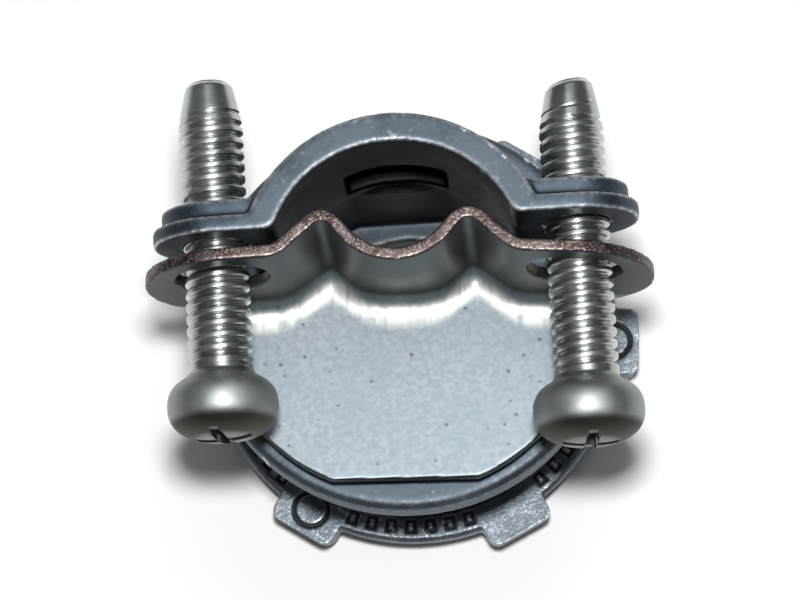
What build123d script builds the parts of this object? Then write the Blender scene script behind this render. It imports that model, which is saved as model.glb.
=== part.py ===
from build123d import *
import math
import os

# Two-screw clamp connector for a half-inch knockout, millimetres.
# Origin: centre of the conductor opening at the barrel's end. +Z: towards the clamp end.
# +Y: towards the arch's crown and the screw tips. +X: to the right with the crown up.
# Heights below are counted from the shoulder's seating face, and save() lifts each
# finished piece by the barrel's length.

# Die-cast body: threaded barrel, round shoulder, arch with two ears
BARREL_R = 10.5
BARREL_LENGTH = 11.0
BARREL_CHAMFER = 0.7
BORE_R = 8.3
BORE_FLAT_Y = 7.65
LIP_THICKNESS = 5.3
LIP_R = 6.4
SHOULDER_R = 13.6
SHOULDER_BACK_TRIM = 1.1
SHOULDER_THICKNESS = 2.2
SHOULDER_CHAMFER = 0.45
RIM_Z = 13.5
ARCH_OUTER_R = 9.9
ARCH_INNER_HALF_WIDTH = 8.1
ARCH_INNER_TOP = 8.0
ARCH_INNER_CORNER_R = 7.9
ARCH_FOOT_ROUND = 0.8
EAR_UNDERSIDE_Y = 2.85
EAR_THICKNESS = 1.05
EAR_END_R = 4.0
BOSS_R = 3.4
BOSS_HEIGHT = 1.2
POCKET_WIDTH = 6.6
POCKET_Z = (3.4, 7.4)
POCKET_DEPTH = 0.9
POCKET_MOUTH = 1.2

# Clamp screws, 8-32 by 3/4 inch, parallel to Y
SCREW_X = 11.55
SCREW_Z = 9.5
SCREW_R = 2.08
SCREW_LENGTH = 19.05
SCREW_TIP_R = 1.45
SCREW_TIP_TAPER = 3.0
HEAD_R = 3.55
HEAD_HEIGHT = 4.4
HEAD_DRIVE_ROUND = 2.35
HEAD_UNDERSIDE_ROUND = 1.1
DRIVE_SLOT_WIDTH = 1.0
DRIVE_SLOT_DEPTH = 1.4
LEFT_HEAD_Y = -5.4
RIGHT_HEAD_Y = -7.2
RUNNING_CLEARANCE = 0.05

# Clamp strap, bent from sheet: W-shaped wall, slotted ears, shield plate
SHEET = 0.8
STRAP_Z = (2.65, 13.35)
STRAP_HALF_LENGTH = 16.3
STRAP_FLAT_Y = 1.1
STRAP_CANT_DEG = -2.4
STRAP_LEAN_DEG = -4.0
STRAP_DROOP_DEG = 2.5
FLANK_FOOT_X = 7.59
HUMP_X = 4.55
HUMP_RISE = 2.74
VALLEY_DROP = 2.69
FOOT_R = 2.0
HUMP_R = 1.0
VALLEY_R = 4.1
SLOT_X = 11.2
SLOT_LENGTH = 5.9
SLOT_WIDTH = 4.8
SHIELD_R = 12.2
SHIELD_CHORD_Y = -11.25
BEND_FILLET = 1.2
CLEAR_OF_SHEET = 12.0
BEND_EDGE_SHARE = 10

# Locknut on the barrel
NUT_R = 13.85
NUT_LUG_R = 15.3
NUT_TOP_Z = -7.9
NUT_THICKNESS = 2.4
NUT_CHAMFER = 0.3
LUG_COUNT = 6
LUG_FIRST_DEG = -4.0
LUG_OUTER_DEG = 17.0
LUG_BASE_DEG = 21.0
LUG_ROOT_DEPTH = 1.0
LUG_CORNER_R = 0.7


def upright_cylinder(radius, low, high):
    """Cylinder on the Z axis between two heights."""
    return Pos(0, 0, low) * Cylinder(radius, high - low, align=(Align.CENTER, Align.CENTER, Align.MIN))


def cross_cylinder(radius, x, low, high):
    """Cylinder on a screw's axis, parallel to Y, between two Y values."""
    base = Cylinder(radius, high - low, align=(Align.CENTER, Align.CENTER, Align.MIN))
    return Pos(x, low, SCREW_Z) * Rot(-90, 0, 0) * base


def barrel_and_shoulder():
    barrel = upright_cylinder(BARREL_R, -BARREL_LENGTH, SHOULDER_THICKNESS / 2)
    barrel = chamfer(barrel.edges().sort_by(Axis.Z)[0], BARREL_CHAMFER)
    shoulder = upright_cylinder(SHOULDER_R, 0, SHOULDER_THICKNESS)
    shoulder &= Pos(0, -SHOULDER_BACK_TRIM, 0) * upright_cylinder(SHOULDER_R, 0, SHOULDER_THICKNESS)
    shoulder = chamfer(shoulder.edges().group_by(Axis.Z)[-1], SHOULDER_CHAMFER)
    return barrel + shoulder


def arch_wall():
    """Outer half tube, cut off at the ears' underside."""
    height = RIM_Z - SHOULDER_THICKNESS / 2
    tube = upright_cylinder(ARCH_OUTER_R, SHOULDER_THICKNESS / 2, RIM_Z)
    keep = Pos(0, EAR_UNDERSIDE_Y, RIM_Z) * Box(
        2 * ARCH_OUTER_R, ARCH_OUTER_R, height, align=(Align.CENTER, Align.MIN, Align.MAX)
    )
    return tube & keep


def throat():
    """Flat-topped inner space of the arch, down to the shoulder's top."""
    outline = FilletPolyline(
        (-ARCH_INNER_HALF_WIDTH, -BORE_R),
        (-ARCH_INNER_HALF_WIDTH, ARCH_INNER_TOP),
        (ARCH_INNER_HALF_WIDTH, ARCH_INNER_TOP),
        (ARCH_INNER_HALF_WIDTH, -BORE_R),
        radius=ARCH_INNER_CORNER_R,
    )
    closing = Line(outline @ 1, outline @ 0)
    face = make_face(outline.edges() + closing.edges())
    return Pos(0, 0, SHOULDER_THICKNESS) * extrude(face, RIM_Z)


def barrel_bore():
    """Round space inside the barrel, flat on the crown's side, above the lip."""
    floor = -BARREL_LENGTH + LIP_THICKNESS
    depth = SHOULDER_THICKNESS - floor
    keep = Pos(0, BORE_FLAT_Y, floor) * Box(
        2 * BORE_R, 2 * BORE_R, depth, align=(Align.CENTER, Align.MAX, Align.MIN)
    )
    return upright_cylinder(BORE_R, floor, SHOULDER_THICKNESS) & keep


def ear(side):
    """Tab with a round end and a boss, for the screw on one side."""
    x = side * SCREW_X
    top = EAR_UNDERSIDE_Y + EAR_THICKNESS
    round_end = cross_cylinder(EAR_END_R, x, EAR_UNDERSIDE_Y, top)
    root_length = SCREW_X - ARCH_INNER_HALF_WIDTH
    root_box = Box(root_length, EAR_THICKNESS, 2 * EAR_END_R)
    root = Pos(x - side * root_length / 2, EAR_UNDERSIDE_Y + EAR_THICKNESS / 2, SCREW_Z) * root_box
    boss = cross_cylinder(BOSS_R, x, top, top + BOSS_HEIGHT)
    web_length = SCREW_X - ARCH_OUTER_R * math.cos(math.asin((top + BOSS_HEIGHT) / ARCH_OUTER_R))
    web_box = Box(web_length, BOSS_HEIGHT, 2 * BOSS_R)
    web = Pos(x - side * web_length / 2, top + BOSS_HEIGHT / 2, SCREW_Z) * web_box
    return round_end + root + boss + web


def arch_foot_edges(solid):
    """Long edges where the throat's sides meet the ears' underside."""
    near = ARCH_FOOT_ROUND / 2
    upright = solid.edges().filter_by(Axis.Z)
    at_foot = upright.filter_by_position(Axis.Y, EAR_UNDERSIDE_Y - near, EAR_UNDERSIDE_Y + near)
    return at_foot.filter_by_position(Axis.X, -ARCH_INNER_HALF_WIDTH - near, ARCH_INNER_HALF_WIDTH + near)


def connector_body():
    solid = barrel_and_shoulder() + arch_wall()
    solid += ear(-1)
    solid += ear(1)
    solid -= throat()
    solid = fillet(arch_foot_edges(solid), ARCH_FOOT_ROUND)
    solid -= barrel_bore()
    solid -= upright_cylinder(LIP_R, -BARREL_LENGTH, 0)
    for side in (-1, 1):
        hole_top = EAR_UNDERSIDE_Y + EAR_THICKNESS + BOSS_HEIGHT
        solid -= cross_cylinder(SCREW_R + RUNNING_CLEARANCE, side * SCREW_X, EAR_UNDERSIDE_Y, hole_top)
    pocket_low, pocket_high = POCKET_Z
    pocket_box = Box(POCKET_WIDTH, POCKET_DEPTH + POCKET_MOUTH, pocket_high - pocket_low)
    pocket_y = ARCH_INNER_TOP + (POCKET_DEPTH - POCKET_MOUTH) / 2
    return solid - Pos(0, pocket_y, (pocket_low + pocket_high) / 2) * pocket_box


def strap_centre_line():
    """W-shaped line through the middle of the sheet, in the strap's own level frame."""
    reach = STRAP_HALF_LENGTH + SHEET
    droop = (reach - FLANK_FOOT_X) * math.tan(math.radians(STRAP_DROOP_DEG))
    right = [
        (HUMP_X, HUMP_RISE),
        (FLANK_FOOT_X, 0),
        (reach, -droop),
    ]
    left = [(-x, y) for x, y in reversed(right)]
    corners = left + [(0, -VALLEY_DROP)] + right
    corner_radii = [FOOT_R, HUMP_R, VALLEY_R, HUMP_R, FOOT_R]
    return FilletPolyline(*corners, radius=corner_radii)


def strap_wall():
    """The bent sheet, trimmed to its round-ended outline."""
    low, high = STRAP_Z
    section = make_face(offset(strap_centre_line(), SHEET / 2, side=Side.BOTH).edges())
    sheet = Pos(0, 0, low) * extrude(section, high - low)
    end_r = (high - low) / 2
    outline = SlotOverall(2 * STRAP_HALF_LENGTH, 2 * end_r)
    prism = extrude(outline, 2 * CLEAR_OF_SHEET)
    return sheet & Pos(0, CLEAR_OF_SHEET, low + end_r) * Rot(90, 0, 0) * prism


def shield_plate():
    """Flat plate that closes the bore below the strap, up to the sheet's centre line."""
    line = strap_centre_line()
    low_y = -2 * SHIELD_R
    closing = Polyline(line @ 1, ((line @ 1).X, low_y), ((line @ 0).X, low_y), line @ 0)
    under_line = extrude(make_face(line.edges() + closing.edges()), SHEET)
    disc = Cylinder(SHIELD_R, SHEET, align=(Align.CENTER, Align.CENTER, Align.MIN))
    chord_y = SHIELD_CHORD_Y - STRAP_FLAT_Y
    disc = Pos(0, -STRAP_FLAT_Y, 0) * disc
    keep = Pos(0, chord_y, 0) * Box(
        2 * SHIELD_R, 2 * SHIELD_R, SHEET, align=(Align.CENTER, Align.MIN, Align.MIN)
    )
    return Pos(0, 0, STRAP_Z[0]) * (under_line & disc & keep)


def inner_bend_edges(strap):
    """Edges where the wall's underside meets the shield's upper face."""
    level = STRAP_Z[0] + SHEET
    tolerance = SHEET / BEND_EDGE_SHARE
    at_level = strap.edges().filter_by_position(Axis.Z, level - tolerance, level + tolerance)
    on_plate = at_level.filter_by_position(Axis.X, -SHIELD_R, SHIELD_R)
    return on_plate.filter_by_position(Axis.Y, -VALLEY_DROP, HUMP_RISE)


def clamp_strap():
    strap = strap_wall() + shield_plate()
    strap = fillet(inner_bend_edges(strap), BEND_FILLET)
    for side in (-1, 1):
        prism = extrude(SlotOverall(SLOT_LENGTH, SLOT_WIDTH), 2 * CLEAR_OF_SHEET)
        strap -= Pos(side * SLOT_X, CLEAR_OF_SHEET, SCREW_Z) * Rot(90, 0, 0) * prism
    top = STRAP_Z[1]
    canted = Pos(0, 0, -top) * Rot(0, 0, STRAP_CANT_DEG) * strap
    return Pos(0, STRAP_FLAT_Y, top) * Rot(STRAP_LEAN_DEG, 0, 0) * canted


def clamp_screw(side, head_y):
    """Machine screw with a deep round head, its drive slot facing -Y."""
    shank = Cylinder(SCREW_R, SCREW_LENGTH, align=(Align.CENTER, Align.CENTER, Align.MIN))
    shank = chamfer(shank.edges().sort_by(Axis.Z)[-1], SCREW_TIP_TAPER, SCREW_R - SCREW_TIP_R)
    head = Cylinder(HEAD_R, HEAD_HEIGHT, align=(Align.CENTER, Align.CENTER, Align.MAX))
    head = fillet(head.edges().sort_by(Axis.Z)[0], HEAD_DRIVE_ROUND)
    head = fillet(head.edges().sort_by(Axis.Z)[-1], HEAD_UNDERSIDE_ROUND)
    slot_box = Box(2 * HEAD_R, DRIVE_SLOT_WIDTH, 2 * DRIVE_SLOT_DEPTH)
    head -= Pos(0, 0, -HEAD_HEIGHT) * slot_box
    return Pos(side * SCREW_X, head_y, SCREW_Z) * Rot(-90, 0, 0) * (shank + head)


def ring_point(radius, angle_deg):
    angle = math.radians(angle_deg)
    return (radius * math.cos(angle), radius * math.sin(angle))


def nut_lug(angle_deg):
    """Tapered lug with rounded corners on the nut's rim."""
    root_r = NUT_R - LUG_ROOT_DEPTH
    corners = [
        ring_point(root_r, angle_deg - LUG_BASE_DEG / 2),
        ring_point(NUT_LUG_R, angle_deg - LUG_OUTER_DEG / 2),
        ring_point(NUT_LUG_R, angle_deg + LUG_OUTER_DEG / 2),
        ring_point(root_r, angle_deg + LUG_BASE_DEG / 2),
    ]
    face = make_face(Polyline(*corners, close=True))
    outer = sorted(face.vertices(), key=lambda vertex: math.hypot(vertex.X, vertex.Y))[-2:]
    return extrude(fillet(outer, LUG_CORNER_R), NUT_THICKNESS)


def locknut():
    ring = Cylinder(NUT_R, NUT_THICKNESS, align=(Align.CENTER, Align.CENTER, Align.MIN))
    ring = chamfer(ring.edges().filter_by(GeomType.CIRCLE), NUT_CHAMFER)
    for index in range(LUG_COUNT):
        ring += nut_lug(LUG_FIRST_DEG + index * 360 / LUG_COUNT)
    ring -= Cylinder(BARREL_R + RUNNING_CLEARANCE, 2 * NUT_THICKNESS)
    return Pos(0, 0, NUT_TOP_Z - NUT_THICKNESS) * ring


def save(solid, node):
    export_step(Pos(0, 0, BARREL_LENGTH) * solid, f"parts/{node}.step")


os.makedirs("parts", exist_ok=True)
save(connector_body(), "connector_body")
save(clamp_strap(), "clamp_strap")
save(clamp_screw(-1, LEFT_HEAD_Y), "left_clamp_screw")
save(clamp_screw(1, RIGHT_HEAD_Y), "right_clamp_screw")
save(locknut(), "locknut")
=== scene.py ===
import bmesh
import bpy
import math
import numpy as np
from mathutils import Matrix, Vector


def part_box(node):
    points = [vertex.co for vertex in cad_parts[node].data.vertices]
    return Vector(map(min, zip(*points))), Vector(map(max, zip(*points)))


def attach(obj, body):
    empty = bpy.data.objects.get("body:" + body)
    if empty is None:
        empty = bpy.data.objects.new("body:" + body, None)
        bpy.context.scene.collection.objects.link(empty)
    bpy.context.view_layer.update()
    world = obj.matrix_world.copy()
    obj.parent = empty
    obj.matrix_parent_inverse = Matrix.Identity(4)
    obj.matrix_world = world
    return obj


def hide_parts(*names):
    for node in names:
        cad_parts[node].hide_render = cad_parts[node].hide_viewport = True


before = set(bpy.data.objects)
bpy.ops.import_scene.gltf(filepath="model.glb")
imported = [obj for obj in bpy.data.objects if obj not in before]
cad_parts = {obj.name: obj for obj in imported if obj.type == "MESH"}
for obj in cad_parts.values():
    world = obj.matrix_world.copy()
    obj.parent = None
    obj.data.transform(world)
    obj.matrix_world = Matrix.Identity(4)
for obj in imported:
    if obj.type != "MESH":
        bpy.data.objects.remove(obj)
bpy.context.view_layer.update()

MM = 0.001

# Sizes are in millimetres and angles in degrees, unless a name says otherwise.
# The values below repeat the CAD's.
SHOULDER_Z = 11.0
RIM_Z = 24.5
ARCH_INNER_TOP = 8.0
BARREL_R = 10.5
SCREW_R = 2.08
SCREW_LENGTH = 19.05
SCREW_TIP_R = 1.45
SCREW_TIP_TAPER = 3.0
HEAD_R = 3.55
HEAD_HEIGHT = 4.4
SHEET = 0.8
STRAP_PIVOT = Vector((0, 1.1, 24.35))
STRAP_HEIGHT = 10.7
STRAP_CANT_DEG = -2.4
STRAP_LEAN_DEG = -4.0
WAVE_CORNERS = ((-4.55, 2.74), (0, -2.69), (4.55, 2.74), (7.59, 0), (17, -0.41))
WAVE_RADII = (4.1, 1.0, 2.0)
FIRST_LUG_DEG = -4
LUGS = 6
nut_low, nut_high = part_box("locknut")
NUT_TOP_Z = nut_high.z / MM
NUT_THICKNESS = (nut_high.z - nut_low.z) / MM

# The values below belong to the looks alone.
# Body: voxel of its skin, thread, zones of painted shade
BODY_VOXEL = 0.13
BODY_SMOOTH_STEPS = 13
BARREL_PITCH = 1.814
BARREL_THREAD_DEPTH = 1.05
POCKET_HALF_WIDTH = 3.35
POCKET_MIDDLE_Z = 16.4
POCKET_HALF_HEIGHT = 2.3
POCKET_WALL = 1.3
THROAT_PAINTED_SHADE = 0.5

# Screws: thread, neck under the head, head's outline, drive
SCREW_PITCH = 0.794
SCREW_THREAD_DEPTH = 0.28
SCREW_RING_STEP = 0.045
SCREW_SEGMENTS = 80
SCREW_NECK = 0.5
TIP_EDGE_ROUND = 0.2
HEAD_OUTLINE_STEPS = 34
HEAD_OUTLINE_POWER = 2.45
DRIVE_SLOT = (3 * HEAD_R, 0.6, 0.8)
RECESS_MOUTH_REACH = 1.95
RECESS_FLOOR_REACH = 0.75
RECESS_DEPTH = 2.6
RECESS_HALF_WIDTH = 0.4
RECESS_TAPER = 0.6
# Strength of the painted dark reflection where the head's side turns into its drive face.
PAINTED_DARK_REFLECTION = 0.9
SHARP_DEG = 38

# Locknut: ticks, rings, the outer edge's draft, painted shadow at the mouth
NUT_VOXEL = 0.1
NUT_SMOOTH_STEPS = 4
TICK_STEP_DEG = 5.9
TICKS_EACH_SIDE = 3
TICK_R = 12.75
TICK_HALF_LENGTH = 0.36
TICK_HALF_WIDTH = 0.27
RING_CENTRE_R = 13.4
RING_R = 1.15
TICK_GROOVE_WIDTH = 0.085
RING_GROOVE_WIDTH = 0.12
GROOVE_DEPTH = 0.16
NUT_DRAFT = 0.35
MOUTH_R = 12.25
MOUTH_PAINTED_SHADOW = 0.97

# Strap: how far its waves fade at the shield
STRAP_VOXEL = 0.1
STRAP_SMOOTH_STEPS = 5
HUMP_SINK = 0.19
VALLEY_LIFT = 0.55
VALLEY_HALF_WIDTH = 2.2
FADE_SHARE = 0.65


# ---------------------------------------------------------------- mesh helpers

def link(obj):
    bpy.context.scene.collection.objects.link(obj)
    return obj


def node_copy(node, name):
    """A welded copy of a CAD node's mesh as a new object, in millimetres."""
    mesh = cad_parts[node].data.copy()
    mesh.materials.clear()
    mesh.transform(Matrix.Scale(1 / MM, 4))
    obj = link(bpy.data.objects.new(name, mesh))
    work = bmesh.new()
    work.from_mesh(mesh)
    bmesh.ops.remove_doubles(work, verts=work.verts, dist=0.0005)
    work.to_mesh(mesh)
    work.free()
    return obj


def mesh_object(name, verts, faces):
    mesh = bpy.data.meshes.new(name)
    mesh.from_pydata(verts, [], faces)
    mesh.update()
    return link(bpy.data.objects.new(name, mesh))


def bake_modifiers(obj):
    """Replaces the object's mesh by its evaluated one and clears its modifiers."""
    graph = bpy.context.evaluated_depsgraph_get()
    graph.update()
    mesh = bpy.data.meshes.new_from_object(obj.evaluated_get(graph))
    obj.modifiers.clear()
    obj.data = mesh


def remesh(obj, voxel, smooth_steps):
    """Turns overlapping closed shells into one skin with softened edges."""
    skin = obj.modifiers.new("skin", "REMESH")
    skin.mode = "VOXEL"
    skin.voxel_size = voxel
    if smooth_steps:
        soften = obj.modifiers.new("soften", "SMOOTH")
        soften.factor = 0.5
        soften.iterations = smooth_steps
    bake_modifiers(obj)


def boolean(obj, tool, operation):
    cut = obj.modifiers.new("cut", "BOOLEAN")
    cut.operation = operation
    cut.object = tool
    cut.solver = "EXACT"
    bake_modifiers(obj)
    bpy.data.objects.remove(tool)


def coordinates(mesh):
    flat = np.empty(len(mesh.vertices) * 3)
    mesh.vertices.foreach_get("co", flat)
    return flat.reshape(-1, 3)


def set_coordinates(mesh, points):
    mesh.vertices.foreach_set("co", points.ravel())
    mesh.update()


def normals(mesh):
    flat = np.empty(len(mesh.vertices) * 3)
    mesh.vertex_normals.foreach_get("vector", flat)
    return flat.reshape(-1, 3)


def set_attribute(mesh, name, values):
    layer = mesh.attributes.new(name, "FLOAT", "POINT")
    layer.data.foreach_set("value", values.astype(np.float32))


def smoothstep(low, high, x):
    t = np.clip((x - low) / (high - low), 0, 1)
    return t * t * (3 - 2 * t)


def ridge(turns):
    """Thread form: 1 on the crest and 0 at the root, for a helix position in turns."""
    distance = np.abs(turns - np.round(turns)) * 2
    return 1 - smoothstep(0.25, 0.95, distance) ** 1.3


def box_mesh(name, centre, size):
    verts = []
    for x in (-1, 1):
        for y in (-1, 1):
            for z in (-1, 1):
                corner = Vector((x * size[0], y * size[1], z * size[2])) / 2
                verts.append(corner + Vector(centre))
    faces = [(0, 1, 3, 2), (4, 6, 7, 5), (0, 4, 5, 1), (2, 3, 7, 6), (0, 2, 6, 4), (1, 5, 7, 3)]
    return mesh_object(name, verts, faces)


def lathe(name, profile, segments):
    """Closed solid of revolution about Z from (radius, z) rings, with poles at both ends."""
    rings = [(r, z) for r, z in profile if r > 0]
    verts = []
    for r, z in rings:
        for i in range(segments):
            angle = 2 * math.pi * i / segments
            verts.append((r * math.cos(angle), r * math.sin(angle), z))
    first = len(verts)
    verts.append((0, 0, profile[0][1]))
    verts.append((0, 0, profile[-1][1]))
    faces = []
    for row in range(len(rings) - 1):
        for i in range(segments):
            j = (i + 1) % segments
            a, b = row * segments, (row + 1) * segments
            faces.append((a + i, a + j, b + j, b + i))
    top = (len(rings) - 1) * segments
    for i in range(segments):
        j = (i + 1) % segments
        faces.append((first, j, i))
        faces.append((first + 1, top + i, top + j))
    return mesh_object(name, verts, faces)


def finish_piece(obj, body, node, material):
    """Back to metres, smooth shading, material, and its place in the frame."""
    obj.data.transform(Matrix.Scale(MM, 4))
    obj.data.materials.clear()
    obj.data.materials.append(material)
    obj.data.shade_smooth()
    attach(obj, body)
    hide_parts(node)
    return obj


# ---------------------------------------------------------------- material helpers

class Nodes:
    """Short way to build a node material in object space."""

    def __init__(self, name):
        self.material = bpy.data.materials.new(name)
        self.material.use_nodes = True
        self.tree = self.material.node_tree
        self.shader = self.tree.nodes["Principled BSDF"]
        self.coord = self.tree.nodes.new("ShaderNodeTexCoord").outputs["Object"]

    def link(self, a, b):
        self.tree.links.new(a, b)

    def new(self, kind, **values):
        node = self.tree.nodes.new(kind)
        for key, value in values.items():
            setattr(node, key, value)
        return node

    def noise(self, scale, detail=3, roughness=0.5, stretch=None):
        node = self.new("ShaderNodeTexNoise")
        node.inputs["Scale"].default_value = scale
        node.inputs["Detail"].default_value = detail
        node.inputs["Roughness"].default_value = roughness
        source = self.coord
        if stretch:
            mapping = self.new("ShaderNodeMapping")
            mapping.inputs["Scale"].default_value = stretch
            self.link(source, mapping.inputs["Vector"])
            source = mapping.outputs["Vector"]
        self.link(source, node.inputs["Vector"])
        return node.outputs["Fac"]

    def cells(self, scale):
        """Distance to the nearest of many scattered points."""
        node = self.new("ShaderNodeTexVoronoi")
        node.inputs["Scale"].default_value = scale
        self.link(self.coord, node.inputs["Vector"])
        return node.outputs["Distance"]

    def ramp(self, value, low, high, out_low=0.0, out_high=1.0):
        node = self.new("ShaderNodeMapRange", interpolation_type="SMOOTHSTEP")
        values = {"From Min": low, "From Max": high, "To Min": out_low, "To Max": out_high}
        for socket, number in values.items():
            node.inputs[socket].default_value = number
        self.link(value, node.inputs["Value"])
        return node.outputs["Result"]

    def mix(self, factor, a, b):
        # Socket 0 takes the factor, 6 and 7 take the colours.
        node = self.new("ShaderNodeMix", data_type="RGBA")
        for socket, value in ((0, factor), (6, a), (7, b)):
            if hasattr(value, "default_value"):
                self.link(value, node.inputs[socket])
            elif socket == 0:
                node.inputs[0].default_value = value
            else:
                node.inputs[socket].default_value = (*value, 1)
        return node.outputs[2]

    def math(self, operation, a, b=None):
        node = self.new("ShaderNodeMath", operation=operation)
        for index, value in enumerate((a, b)):
            if value is None:
                continue
            if hasattr(value, "default_value"):
                self.link(value, node.inputs[index])
            else:
                node.inputs[index].default_value = value
        return node.outputs[0]

    def attribute(self, name):
        node = self.new("ShaderNodeAttribute", attribute_name=name)
        return node.outputs["Fac"]

    def pointiness(self):
        return self.new("ShaderNodeNewGeometry").outputs["Pointiness"]

    def bump(self, height, strength, distance):
        node = self.new("ShaderNodeBump")
        node.inputs["Strength"].default_value = strength
        node.inputs["Distance"].default_value = distance
        self.link(height, node.inputs["Height"])
        self.link(node.outputs["Normal"], self.shader.inputs["Normal"])

    def finish(self, color, roughness, metallic):
        self.link(color, self.shader.inputs["Base Color"])
        self.link(roughness, self.shader.inputs["Roughness"])
        self.shader.inputs["Metallic"].default_value = metallic
        return self.material


def cast_zinc():
    """Dull blue-grey casting: cloudy tone, fine grain, edges lightened partly as wear and partly as
    painted highlight, painted shade in creases, the pocket and the throat.
    """
    n = Nodes("cast_zinc")
    cloud = n.noise(260, 4, 0.6)
    grain = n.noise(2600, 3, 0.6)
    base = n.mix(n.ramp(cloud, 0.3, 0.72), (0.043, 0.057, 0.070), (0.092, 0.115, 0.137))
    base = n.mix(n.ramp(grain, 0.55, 0.8, 0, 0.3), base, (0.28, 0.32, 0.35))
    # Sharp edges, found by high pointiness, are lightened: partly wear, partly painted highlight.
    edge_wear_and_highlight = n.math("MULTIPLY", n.ramp(n.pointiness(), 0.505, 0.55), n.ramp(grain, 0.35, 0.6, 0.45, 1))
    base = n.mix(edge_wear_and_highlight, base, (0.70, 0.73, 0.76))
    # Painted shade: creases and hollows, found by low pointiness, are darkened.
    painted_crease_shade = n.ramp(n.pointiness(), 0.44, 0.49, 0.85, 0)
    base = n.mix(painted_crease_shade, base, (0.02, 0.022, 0.026))
    # Painted shade: near black in the pocket of the crown's wall and in the throat.
    base = n.mix(n.attribute("painted_deep_shade"), base, (0.003, 0.002, 0.0015))
    n.bump(n.math("ADD", n.math("MULTIPLY", grain, 0.5), cloud), 0.35, 0.00006)
    return n.finish(base, n.ramp(cloud, 0.3, 0.7, 0.46, 0.58), 0.9)


def nut_zinc():
    """Rougher, lighter and more sparkling casting than the body, with edges lightened partly as wear and
    partly as painted highlight, and painted shade in creases, grooves and the mouth.
    """
    n = Nodes("nut_zinc")
    cloud = n.noise(420, 4, 0.65)
    grain = n.noise(4600, 2, 0.7)
    base = n.mix(n.ramp(cloud, 0.3, 0.7), (0.08, 0.093, 0.107), (0.155, 0.177, 0.197))
    base = n.mix(n.ramp(grain, 0.6, 0.75, 0, 0.6), base, (0.40, 0.43, 0.46))
    # Sharp edges, found by high pointiness, are lightened: partly wear, partly painted highlight.
    base = n.mix(n.ramp(n.pointiness(), 0.51, 0.55, 0, 0.75), base, (0.60, 0.63, 0.66))
    # Painted shade: creases and hollows, found by low pointiness, are darkened.
    base = n.mix(n.ramp(n.pointiness(), 0.43, 0.49, 0.9, 0), base, (0.02, 0.022, 0.026))
    # Painted shade in the tick and ring grooves, and the shoulder's painted shadow across the nut's mouth.
    base = n.mix(n.attribute("groove_and_painted_shade"), base, (0.012, 0.013, 0.015))
    n.bump(n.math("ADD", grain, n.math("MULTIPLY", cloud, 0.4)), 0.45, 0.00006)
    return n.finish(base, n.ramp(grain, 0.3, 0.7, 0.36, 0.58), 0.9)


def plated_sheet():
    """Zinc-plated sheet: pale mottled shield, a bend partly burnished and partly painted highlight, a wall
    painted dark as shade, rusty sheared edges, and the shield's edge painted near black as shade.
    """
    n = Nodes("plated_sheet")
    cloud = n.noise(230, 5, 0.62)
    fine = n.noise(2600, 3, 0.6)
    pale = n.mix(n.ramp(cloud, 0.25, 0.78), (0.225, 0.27, 0.29), (0.34, 0.375, 0.395))
    pale = n.mix(n.ramp(fine, 0.36, 0.66, 0.5, 0), pale, (0.18, 0.225, 0.25))
    dots = n.ramp(n.cells(1100), 0.09, 0.2, 0.75, 0)
    sparse = n.ramp(n.noise(700, 2, 0.5), 0.47, 0.58)
    pale = n.mix(n.math("MULTIPLY", dots, sparse), pale, (0.08, 0.09, 0.10))
    lines = n.noise(160, 2, 0.5, (9.0, 0.35, 1.0))
    pale = n.mix(n.ramp(lines, 0.66, 0.72, 0, 0.3), pale, (0.22, 0.27, 0.29))
    streaks = n.noise(900, 2, 0.6, (2.2, 0.25, 0.25))
    # The bend's near-white band: partly burnish, partly painted highlight where the bend turns towards the
    # lamps.
    bright = n.math("MULTIPLY", n.attribute("burnish_and_painted_highlight"), n.ramp(streaks, 0.3, 0.6, 0.35, 1))
    pale = n.mix(bright, pale, (0.66, 0.66, 0.65))
    # Painted shade: the wall, facing down and away from the lamps, gets a darker copy of the plated tone.
    dark = n.mix(n.ramp(cloud, 0.3, 0.7), (0.035, 0.042, 0.043), (0.10, 0.112, 0.11))
    shaded_wall = n.attribute("shaded_wall")
    base = n.mix(shaded_wall, pale, dark)
    rust = n.mix(n.ramp(n.noise(700, 3, 0.6), 0.35, 0.65), (0.05, 0.03, 0.027), (0.13, 0.10, 0.095))
    rust = n.mix(n.ramp(n.noise(6500, 2, 0.6), 0.50, 0.66, 0, 0.75), rust, (0.36, 0.32, 0.305))
    base = n.mix(n.attribute("cut"), base, rust)
    # Painted shade: the shield's front edge, where its shadow falls, is painted near black.
    base = n.mix(n.attribute("shield_edge_shade"), base, (0.012, 0.012, 0.014))
    n.bump(n.math("ADD", n.math("MULTIPLY", fine, 0.5), cloud), 0.25, 0.00004)
    rough = n.math("ADD", n.ramp(cloud, 0.3, 0.7, 0.47, 0.57), n.math("MULTIPLY", shaded_wall, -0.08))
    return n.finish(base, rough, 0.92)


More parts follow.
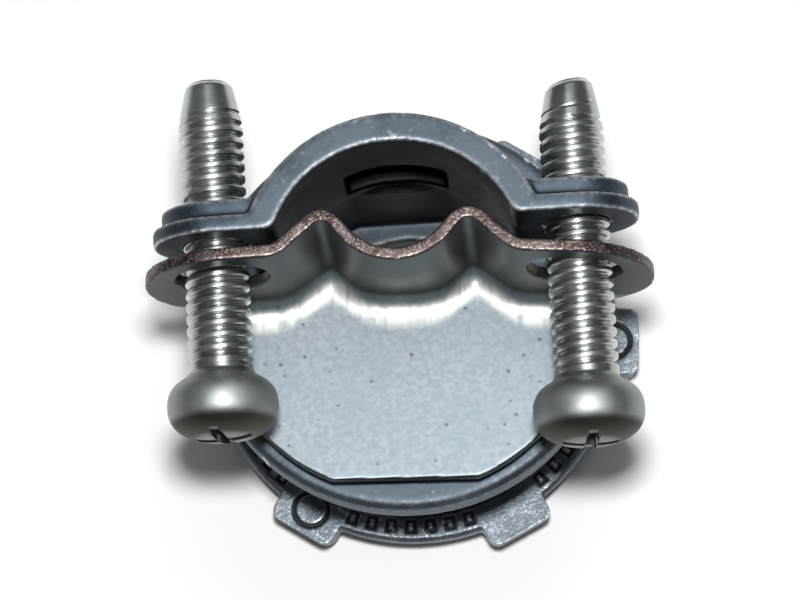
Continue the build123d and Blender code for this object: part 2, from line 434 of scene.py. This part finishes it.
def plated_screw():
    """Bright zinc plate with small nicks, a faint olive-tinted painted shade in the thread roots, painted
    highlight on the crests, and a darker head with a painted dark reflection.
    """
    n = Nodes("plated_screw")
    cloud = n.noise(330, 4, 0.6)
    fine = n.noise(1900, 3, 0.6)
    base = n.mix(n.ramp(cloud, 0.3, 0.7), (0.40, 0.42, 0.41), (0.58, 0.60, 0.59))
    # Painted shade: thread roots, found by low pointiness, are darkened with a faint olive tint.
    root = n.ramp(n.pointiness(), 0.42, 0.50, 0.8, 0)
    base = n.mix(root, base, (0.10, 0.105, 0.075))
    # Painted highlight: thread crests and sharp edges, found by high pointiness, are lightened.
    base = n.mix(n.ramp(n.pointiness(), 0.52, 0.58, 0, 0.6), base, (0.78, 0.79, 0.77))
    base = n.mix(n.ramp(fine, 0.62, 0.74, 0, 0.35), base, (0.16, 0.165, 0.13))
    head = n.attribute("head")
    # Painted dark reflection: the head gets a darker blue-grey tone than the shank.
    base = n.mix(n.math("MULTIPLY", head, 0.6), base, (0.26, 0.28, 0.295))
    # Painted dark reflection: a dark olive band where the head's side turns into its drive face.
    base = n.mix(n.attribute("painted_dark_reflection"), base, (0.03, 0.026, 0.012))
    n.bump(n.math("ADD", n.math("MULTIPLY", fine, 0.4), cloud), 0.3, 0.00005)
    rough = n.math("ADD", n.ramp(cloud, 0.3, 0.7, 0.22, 0.34), n.math("MULTIPLY", head, 0.24))
    return n.finish(base, rough, 1.0)


def floor_material():
    n = Nodes("pale_floor")
    tone = n.mix(n.noise(6, 2, 0.5), (0.86, 0.86, 0.86), (0.90, 0.90, 0.90))
    return n.finish(tone, n.ramp(n.noise(9, 2, 0.5), 0.3, 0.7, 0.75, 0.85), 0.0)


# ---------------------------------------------------------------- pieces

def build_body():
    """The casting: CAD shape with soft edges and the barrel's helical thread."""
    obj = node_copy("connector_body", "cast_body")
    remesh(obj, BODY_VOXEL, BODY_SMOOTH_STEPS)
    mesh = obj.data
    points = coordinates(mesh)
    radius = np.hypot(points[:, 0], points[:, 1])
    angle = np.arctan2(points[:, 1], points[:, 0])
    z = points[:, 2]
    turns = z / BARREL_PITCH - angle / (2 * math.pi)
    faded = smoothstep(0.1, 1.2, z) * (1 - smoothstep(SHOULDER_Z - 1.4, SHOULDER_Z - 0.5, z))
    depth = BARREL_THREAD_DEPTH * (1 - ridge(turns)) * faded
    outer = smoothstep(BARREL_R - 0.9, BARREL_R - 0.45, radius) * (z < SHOULDER_Z - 0.2)
    scale = 1 - depth * outer / np.maximum(radius, 0.001)
    points[:, :2] *= scale[:, None]
    set_coordinates(mesh, points)
    # Painted shade: the pocket in the crown's wall and the throat are painted near black, as little light
    # reaches them.
    in_width = np.abs(points[:, 0]) < POCKET_HALF_WIDTH
    in_height = np.abs(z - POCKET_MIDDLE_Z) < POCKET_HALF_HEIGHT
    into_wall = radius - ARCH_INNER_TOP
    in_wall = (points[:, 1] > 0) * (into_wall > -0.05) * (into_wall < POCKET_WALL)
    throat = smoothstep(0.5, 3, RIM_Z - z) * (into_wall < 0.4)
    set_attribute(mesh, "painted_deep_shade", np.maximum(in_width * in_height * in_wall, THROAT_PAINTED_SHADE * throat))
    return finish_piece(obj, "body", "connector_body", cast_zinc())


def strap_frame():
    """From the strap's own level frame, its top edge at z = 0, to its place in the assembly."""
    lean = Matrix.Rotation(math.radians(STRAP_LEAN_DEG), 4, "X")
    cant = Matrix.Rotation(math.radians(STRAP_CANT_DEG), 4, "Z")
    return Matrix.Translation(STRAP_PIVOT) @ lean @ cant


def rounded_line(corners, radii):
    """Points along straight runs whose inner corners are rounded by arcs."""
    corners = [Vector(corner) for corner in corners]
    points = [corners[0]]
    for before, corner, after, radius in zip(corners, corners[1:], corners[2:], radii):
        back = (before - corner).normalized()
        ahead = (after - corner).normalized()
        half = back.angle(ahead) / 2
        centre = corner + (back + ahead).normalized() * radius / math.sin(half)
        start = corner + back * radius / math.tan(half) - centre
        end = corner + ahead * radius / math.tan(half) - centre
        steps = 12
        points += [centre + radius * start.slerp(end, i / steps) for i in range(steps + 1)]
    return points + [corners[-1]]


def wave(x):
    """Height of the wall's W shape over its flanks."""
    line = np.array([tuple(point) for point in rounded_line(WAVE_CORNERS, WAVE_RADII)])
    return np.interp(np.abs(x), line[:, 0], line[:, 1])


def build_strap():
    """The bent sheet: its waves fade towards the shield, and its zones are marked: sheared edges for rust,
    the wall and the shield's edge for painted shade, and the bend for burnish and painted highlight.
    """
    obj = node_copy("clamp_strap", "clamp_sheet")
    remesh(obj, STRAP_VOXEL, STRAP_SMOOTH_STEPS)
    mesh = obj.data
    place = strap_frame()
    mesh.transform(place.inverted())
    points = coordinates(mesh)
    above = points[:, 2] + STRAP_HEIGHT
    rise = wave(points[:, 0])
    low_part = 1 - smoothstep(SHEET, FADE_SHARE * STRAP_HEIGHT, above)
    near_wall = smoothstep(-4.5, -0.6, points[:, 1])
    sink = HUMP_SINK * np.maximum(rise, 0) - VALLEY_LIFT * np.exp(-(points[:, 0] / VALLEY_HALF_WIDTH) ** 2)
    points[:, 1] -= sink * low_part * near_wall
    set_coordinates(mesh, points)
    normal = np.abs(normals(mesh))
    ahead = rise - sink * low_part - SHEET / 2 - points[:, 1]
    # Painted shade: marks the wall for its darker painted tone.
    on_wall = smoothstep(SHEET + 0.5, SHEET + 1.3, above)
    ear_ends = normal[:, 0] * smoothstep(12.5, 13.5, np.abs(points[:, 0]))
    cut = np.maximum(normal[:, 2] * (above > STRAP_HEIGHT / 2), ear_ends)
    # The bend's band, partly burnish and partly painted highlight.
    burnish_and_painted_highlight = smoothstep(0.3, 0.8, ahead) * (1 - smoothstep(1.4, 2.3, ahead)) * (above < SHEET + 1.6)
    # Painted shade along the shield's front edge.
    shield_edge_shade = smoothstep(0.92, 0.75, normal[:, 2]) * (above < SHEET + 0.2) * (ahead > 2.5)
    set_attribute(mesh, "shaded_wall", on_wall)
    set_attribute(mesh, "cut", smoothstep(0.45, 0.8, cut))
    set_attribute(mesh, "burnish_and_painted_highlight", burnish_and_painted_highlight)
    set_attribute(mesh, "shield_edge_shade", shield_edge_shade)
    mesh.transform(place)
    return finish_piece(obj, "strap", "clamp_strap", plated_sheet())


def screw_profile():
    """(radius, z) rings from the drive end to the tip, with the head below z = 0."""
    rings = [(0, -HEAD_HEIGHT)]
    middle = -HEAD_HEIGHT / 2
    power = HEAD_OUTLINE_POWER
    for i in range(1, HEAD_OUTLINE_STEPS):
        t = -math.cos(math.pi * i / HEAD_OUTLINE_STEPS)
        r = HEAD_R * (1 - abs(t) ** power) ** (1 / power)
        z = middle - t * middle
        if z > middle and r < SCREW_R:
            break
        rings.append((r, z))
    rings.append((SCREW_R, 0.0))
    rows = int(SCREW_LENGTH / SCREW_RING_STEP)
    for i in range(1, rows + 1):
        rings.append((SCREW_R, SCREW_LENGTH * i / rows))
    face_rings = 6
    for i in range(1, face_rings):
        rings.append((SCREW_TIP_R * (1 - i / face_rings), SCREW_LENGTH))
    rings.append((0, SCREW_LENGTH))
    return rings


def slant_tip(obj, degrees):
    """Tilts the tip's end face, as on a sheared blank."""
    points = coordinates(obj.data)
    near_end = smoothstep(SCREW_LENGTH - SCREW_TIP_TAPER, SCREW_LENGTH, points[:, 2])
    points[:, 2] -= near_end * math.tan(math.radians(degrees)) * (SCREW_TIP_R + points[:, 0])
    set_coordinates(obj.data, points)


def cut_thread(obj, phase):
    """Presses the helical thread and the tapered tip into the shank's rings."""
    points = coordinates(obj.data)
    radius = np.hypot(points[:, 0], points[:, 1])
    angle = np.arctan2(points[:, 1], points[:, 0])
    z = points[:, 2]
    turns = z / SCREW_PITCH - angle / (2 * math.pi) + phase
    runout = smoothstep(SCREW_NECK * 0.4, SCREW_NECK * 1.6, z)
    threaded = SCREW_R - SCREW_THREAD_DEPTH * (1 - ridge(turns)) * runout
    into_tip = np.clip((z - (SCREW_LENGTH - SCREW_TIP_TAPER)) / SCREW_TIP_TAPER, 0, 1)
    cone = SCREW_R - (SCREW_R - SCREW_TIP_R) * into_tip ** 1.15
    end_round = TIP_EDGE_ROUND * smoothstep(SCREW_LENGTH - 0.35, SCREW_LENGTH, z)
    target = np.minimum(threaded, cone - end_round)
    on_shank = (z > 0.02) & (radius > SCREW_TIP_R + 0.05)
    scale = np.where(on_shank, target / np.maximum(radius, 0.001), 1)
    points[:, :2] *= scale[:, None]
    set_coordinates(obj.data, points)


def drive_cutters():
    """Cutters for the combination drive: a shallow slot across the head and a tapered cross."""
    cutters = [box_mesh("slot", (0, 0, -HEAD_HEIGHT), DRIVE_SLOT)]
    mouth = (-HEAD_HEIGHT - 0.2, RECESS_MOUTH_REACH, RECESS_HALF_WIDTH)
    floor = (-HEAD_HEIGHT + RECESS_DEPTH, RECESS_FLOOR_REACH, RECESS_HALF_WIDTH * RECESS_TAPER)
    for turn in range(2):
        verts = []
        for z, reach, side in (mouth, floor):
            verts += [(-reach, -side, z), (reach, -side, z), (reach, side, z), (-reach, side, z)]
        faces = [(3, 2, 1, 0), (4, 5, 6, 7), (0, 1, 5, 4), (1, 2, 6, 5), (2, 3, 7, 6), (3, 0, 4, 7)]
        arm = mesh_object("arm", verts, faces)
        arm.matrix_basis = Matrix.Rotation(turn * math.pi / 2, 4, "Z")
        cutters.append(arm)
    return cutters


def build_screw(node, name, body, drive_deg, phase, slant_deg, material):
    """One clamp screw, made along Z and laid along Y on its CAD axis."""
    obj = lathe(name, screw_profile(), SCREW_SEGMENTS)
    cut_thread(obj, phase)
    slant_tip(obj, slant_deg)
    for tool in drive_cutters():
        tool.matrix_basis = Matrix.Rotation(math.radians(drive_deg), 4, "Z") @ tool.matrix_basis
        boolean(obj, tool, "DIFFERENCE")
    height = coordinates(obj.data)[:, 2]
    facing = -normals(obj.data)[:, 2]
    # Band between the head's side and its drive face that gets the painted dark reflection.
    corner = smoothstep(0.3, 0.62, facing) * (1 - 0.6 * smoothstep(0.95, 0.99, facing))
    set_attribute(obj.data, "head", 1 - smoothstep(-0.3, 0, height))
    set_attribute(obj.data, "painted_dark_reflection", PAINTED_DARK_REFLECTION * corner * (height < -HEAD_HEIGHT / 2))
    low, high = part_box(node)
    centre = (low + high) / 2 / MM
    head_face = low.y / MM + HEAD_HEIGHT
    place = Matrix.Translation((centre.x, head_face, centre.z)) @ Matrix.Rotation(-math.pi / 2, 4, "X")
    obj.data.transform(place)
    finish_piece(obj, body, node, material)
    obj.data.set_sharp_from_angle(angle=math.radians(SHARP_DEG))
    return obj


def build_nut():
    """The locknut: drafted outer edge, ticks grooved between its lugs, a ring grooved on every other lug,
    painted shade in the grooves and painted shadow at the mouth.
    """
    obj = node_copy("locknut", "lugged_nut")
    remesh(obj, NUT_VOXEL, NUT_SMOOTH_STEPS)
    mesh = obj.data
    points = coordinates(mesh)
    radius = np.hypot(points[:, 0], points[:, 1])
    turn = np.arctan2(points[:, 1], points[:, 0]) - math.radians(FIRST_LUG_DEG)
    top = smoothstep(NUT_TOP_Z - 0.2, NUT_TOP_Z - 0.08, points[:, 2])
    sector = 2 * math.pi / LUGS
    between = (turn % sector) - sector / 2
    step = math.radians(TICK_STEP_DEG)
    nearest = np.clip(np.round(between / step), -TICKS_EACH_SIDE, TICKS_EACH_SIDE) * step
    across = np.abs(radius * (between - nearest)) - TICK_HALF_WIDTH
    along = np.abs(radius - TICK_R) - TICK_HALF_LENGTH
    outside = np.maximum(across, along)
    groove_and_painted_shade = np.exp(-(outside / TICK_GROOVE_WIDTH) ** 2)
    ring_turn = (turn + sector) % (2 * sector) - sector
    ring_x = radius * np.cos(ring_turn) - RING_CENTRE_R
    ring_y = radius * np.sin(ring_turn)
    groove_and_painted_shade += np.exp(-((np.hypot(ring_x, ring_y) - RING_R) / RING_GROOVE_WIDTH) ** 2)
    groove_and_painted_shade = np.clip(groove_and_painted_shade, 0, 1) * top
    points[:, 2] -= GROOVE_DEPTH * groove_and_painted_shade
    below = (NUT_TOP_Z - points[:, 2]) / NUT_THICKNESS
    draft = NUT_DRAFT * below * smoothstep(BARREL_R + 1, BARREL_R + 2, radius)
    points[:, :2] *= (1 - draft / radius)[:, None]
    set_coordinates(mesh, points)
    # Painted shadow: the nut's inner ring, where the shoulder's shadow falls, is painted near black, on
    # top of the painted shade in the grooves.
    mouth = 1 - smoothstep(MOUTH_R - 0.25, MOUTH_R, radius)
    set_attribute(mesh, "groove_and_painted_shade", np.maximum(groove_and_painted_shade, MOUTH_PAINTED_SHADOW * mouth))
    return finish_piece(obj, "nut", "locknut", nut_zinc())


# ---------------------------------------------------------------- stage, light, camera

def build_floor():
    size = 1.2
    verts = [(-size, -size, 0), (size, -size, 0), (size, size, 0), (-size, size, 0)]
    floor = mesh_object("floor", verts, [(0, 1, 2, 3)])
    floor.data.materials.append(floor_material())


def area_light(name, place, target, size, power, color=(1, 1, 1)):
    data = bpy.data.lights.new(name, "AREA")
    data.shape = "RECTANGLE"
    data.size, data.size_y = size
    data.energy = power
    data.color = color
    light = link(bpy.data.objects.new(name, data))
    light.location = place
    toward = Vector(target) - Vector(place)
    light.rotation_euler = toward.to_track_quat("-Z", "Y").to_euler()
    return light


def build_lights():
    """A small lamp just above the camera, a dim softbox behind the crown and a dark grey room."""
    middle = Vector((0, 0, 0.015))
    camera = bpy.context.scene.camera.matrix_world
    lamp = camera.translation + 0.045 * camera.col[1].to_3d()
    area_light("lamp", lamp, middle, (0.03, 0.03), 0.95)
    area_light("softbox", (0.03, 0.15, 0.32), middle, (0.22, 0.14), 0.16, (0.95, 0.98, 1.0))
    world = bpy.data.worlds.new("studio")
    world.use_nodes = True
    background = world.node_tree.nodes["Background"]
    background.inputs["Color"].default_value = (0.80, 0.86, 0.92, 1)
    background.inputs["Strength"].default_value = 0.14
    bpy.context.scene.world = world


def build_camera():
    """The photographer's place: high over the screw heads, turned and rolled a little."""
    elevation, turn, roll = (math.radians(a) for a in (75.98, 10.75, -14.2))
    distance, aim_right, aim_up = 0.300, -0.00047, 0.00086
    back = Vector((
        math.sin(turn) * math.cos(elevation),
        -math.cos(turn) * math.cos(elevation),
        math.sin(elevation),
    ))
    level = Vector((math.cos(turn), math.sin(turn), 0))
    rise = back.cross(level)
    right = level * math.cos(roll) + rise * math.sin(roll)
    up = rise * math.cos(roll) - level * math.sin(roll)
    pivot = Vector((0, 0, SHOULDER_Z * MM))
    place = pivot + right * aim_right + up * aim_up + back * distance
    data = bpy.data.cameras.new("camera")
    data.sensor_width = 36
    data.lens = 205.6
    data.clip_start = 0.01
    camera = link(bpy.data.objects.new("camera", data))
    axes = Matrix((right, up, back)).transposed().to_4x4()
    camera.matrix_world = Matrix.Translation(place) @ axes
    bpy.context.scene.camera = camera


build_body()
build_strap()
screw_finish = plated_screw()
build_screw(
    "left_clamp_screw", "left_screw_threaded", "left_screw",
    drive_deg=78, phase=0.1, slant_deg=0, material=screw_finish,
)
build_screw(
    "right_clamp_screw", "right_screw_threaded", "right_screw",
    drive_deg=96, phase=0.45, slant_deg=-9, material=screw_finish,
)
build_nut()
build_floor()
build_camera()
build_lights()

bpy.context.scene.view_settings.view_transform = "Standard"
